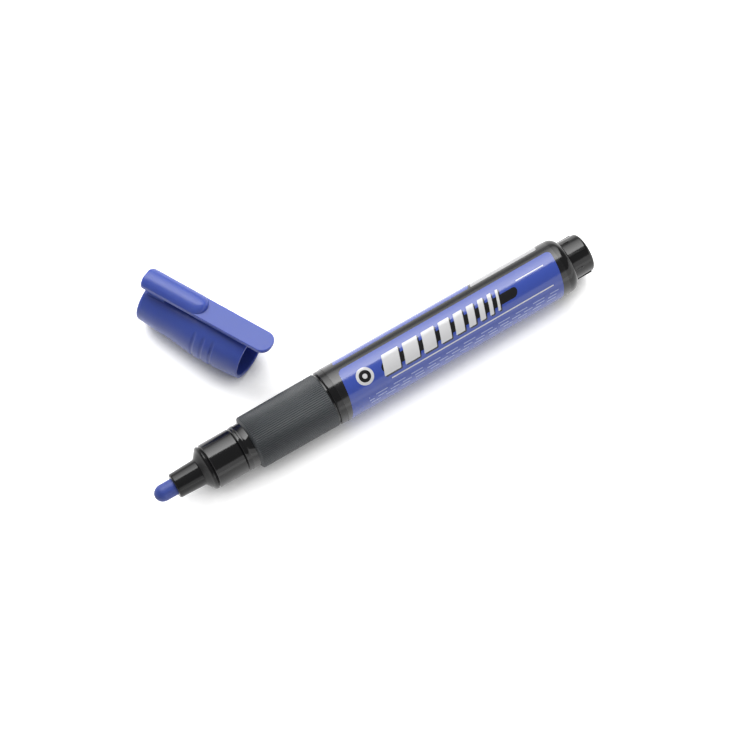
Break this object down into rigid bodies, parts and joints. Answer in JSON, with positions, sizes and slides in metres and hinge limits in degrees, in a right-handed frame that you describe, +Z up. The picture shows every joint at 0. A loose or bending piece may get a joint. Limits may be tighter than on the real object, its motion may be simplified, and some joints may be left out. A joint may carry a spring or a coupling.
{
  "type": "oil paint marker",
  "caption": "Round valve-action paint marker with a bullet nib, ribbed grip and printed barrel, its clip cap lying beside it.",
  "frame": {"origin": "on the table, under the middle of the box round the lying marker and its cap", "axes": "+X along the marker from its tail to its nib, +Z up, and the cap lies on the -Y side"},
  "size_m": [0.1368, 0.0625, 0.0195],
  "materials": {
    "barrel_black": "glossy moulded black",
    "label_print": "glossy printed film, blue, black and silver",
    "grip_grey": "matte charcoal with fine ribs",
    "collar_black": "glossy moulded black",
    "nib_fibre": "pressed fibre soaked in blue paint",
    "valve_plastic": "natural moulded plastic",
    "seal_rubber": "soft black rubber",
    "spring_steel": "drawn wire",
    "ball_steel": "polished steel",
    "cap_blue": "satin moulded blue",
    "liner_plastic": "soft natural plastic"
  },
  "bodies": {
    "marker_body": {"barrel": "barrel_black", "label": "label_print", "grip_sleeve": "grip_grey", "front_collar": "collar_black", "nib_holder": "collar_black", "valve_housing": "valve_plastic", "valve_seal": "seal_rubber", "valve_spring": "spring_steel", "valve_retainer": "valve_plastic", "cap": "cap_blue", "cap_liner": "liner_plastic"},
    "nib_unit": {"nib": "nib_fibre", "valve_stem": "valve_plastic"},
    "ball": {"mixing_ball": "ball_steel"}
  },
  "joints": [
    {"name": "nib_press", "type": "slide", "parent": "marker_body", "child": "nib_unit", "axis": [-1, 0, 0], "range_m": [0, 0.0015], "stiffness_N_per_m": 1500, "deforming": ["valve_spring"]},
    {"name": "ball_travel", "type": "slide", "parent": "marker_body", "child": "ball", "axis": [1, 0, 0], "range_m": [0, 0.0554]}
  ]
}
